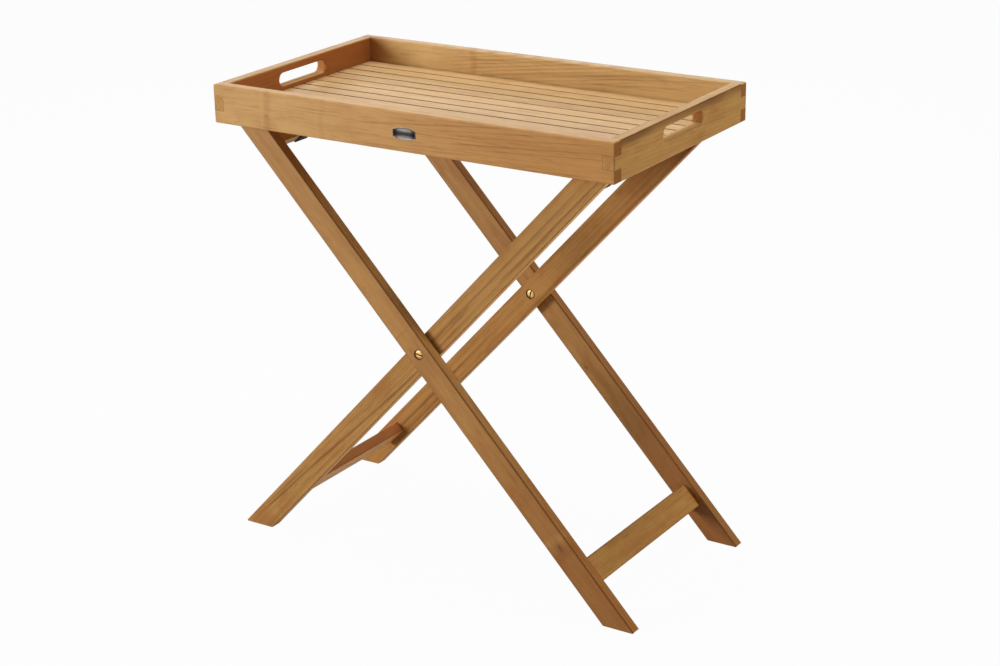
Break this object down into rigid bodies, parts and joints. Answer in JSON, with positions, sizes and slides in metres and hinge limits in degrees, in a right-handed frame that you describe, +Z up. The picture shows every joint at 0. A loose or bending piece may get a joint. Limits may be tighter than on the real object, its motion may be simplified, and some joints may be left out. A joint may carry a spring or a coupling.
{
  "type": "folding tray table",
  "caption": "Wooden butler's tray table: a slatted lift-off tray with finger-jointed corners and hand slots on a folding X-leg stand held open by black webbing straps.",
  "frame": {"origin": "on the floor under the middle of the tray", "axes": "X along the tray's length, Y across it with the plated front rail at -Y, Z up"},
  "size_m": [0.741, 0.4004, 0.75],
  "materials": {
    "rail_wood": "oiled hardwood rails with straight and flame grain",
    "slat_wood": "oiled hardwood floor slats, long straight grain",
    "batten_wood": "planed hardwood, unfinished underside",
    "leg_wood": "oiled hardwood legs, long straight grain",
    "plate_metal": "dark brushed blank plate",
    "screw_steel": "zinc-plated countersunk screws",
    "pivot_brass": "dull brass",
    "washer_brass": "dull brass",
    "strap_webbing": "black woven webbing"
  },
  "bodies": {
    "outer_frame": {"outer_leg_front": "leg_wood", "outer_leg_back": "leg_wood", "outer_top_rail": "leg_wood", "outer_stretcher": "leg_wood", "pivot_sleeve_front": "pivot_brass", "pivot_sleeve_back": "pivot_brass", "pivot_screw_front": "pivot_brass", "pivot_screw_back": "pivot_brass", "pivot_washer_front": "washer_brass", "pivot_washer_back": "washer_brass", "strap_front": "strap_webbing", "strap_back": "strap_webbing"},
    "inner_frame": {"inner_leg_front": "leg_wood", "inner_leg_back": "leg_wood", "inner_top_rail": "leg_wood", "inner_stretcher": "leg_wood"},
    "tray": {"front_rail": "rail_wood", "back_rail": "rail_wood", "left_end_rail": "rail_wood", "right_end_rail": "rail_wood", "front_plate": "plate_metal", "floor_slat_01": "slat_wood", "floor_slat_02": "slat_wood", "floor_slat_03": "slat_wood", "floor_slat_04": "slat_wood", "floor_slat_05": "slat_wood", "floor_slat_06": "slat_wood", "floor_slat_07": "slat_wood", "floor_slat_08": "slat_wood", "floor_slat_09": "slat_wood", "floor_slat_10": "slat_wood", "floor_slat_11": "slat_wood", "floor_slat_12": "slat_wood", "left_batten": "batten_wood", "right_batten": "batten_wood"}
  },
  "joints": [
    {"name": "tray_lift", "type": "slide", "parent": "outer_frame", "child": "tray", "axis": [0, 0, 1], "range_m": [0, 0.5]},
    {"name": "leg_fold", "type": "hinge", "parent": "outer_frame", "child": "inner_frame", "pos_m": [0, 0, 0.37], "axis": [0, -1, 0], "range_deg": [0, 81.6], "deforming": ["strap_front", "strap_back"]}
  ],
  "couplings": [
    {"joint": "leg_fold", "follows": "tray_lift", "rad_per_m": 2.848}
  ]
}
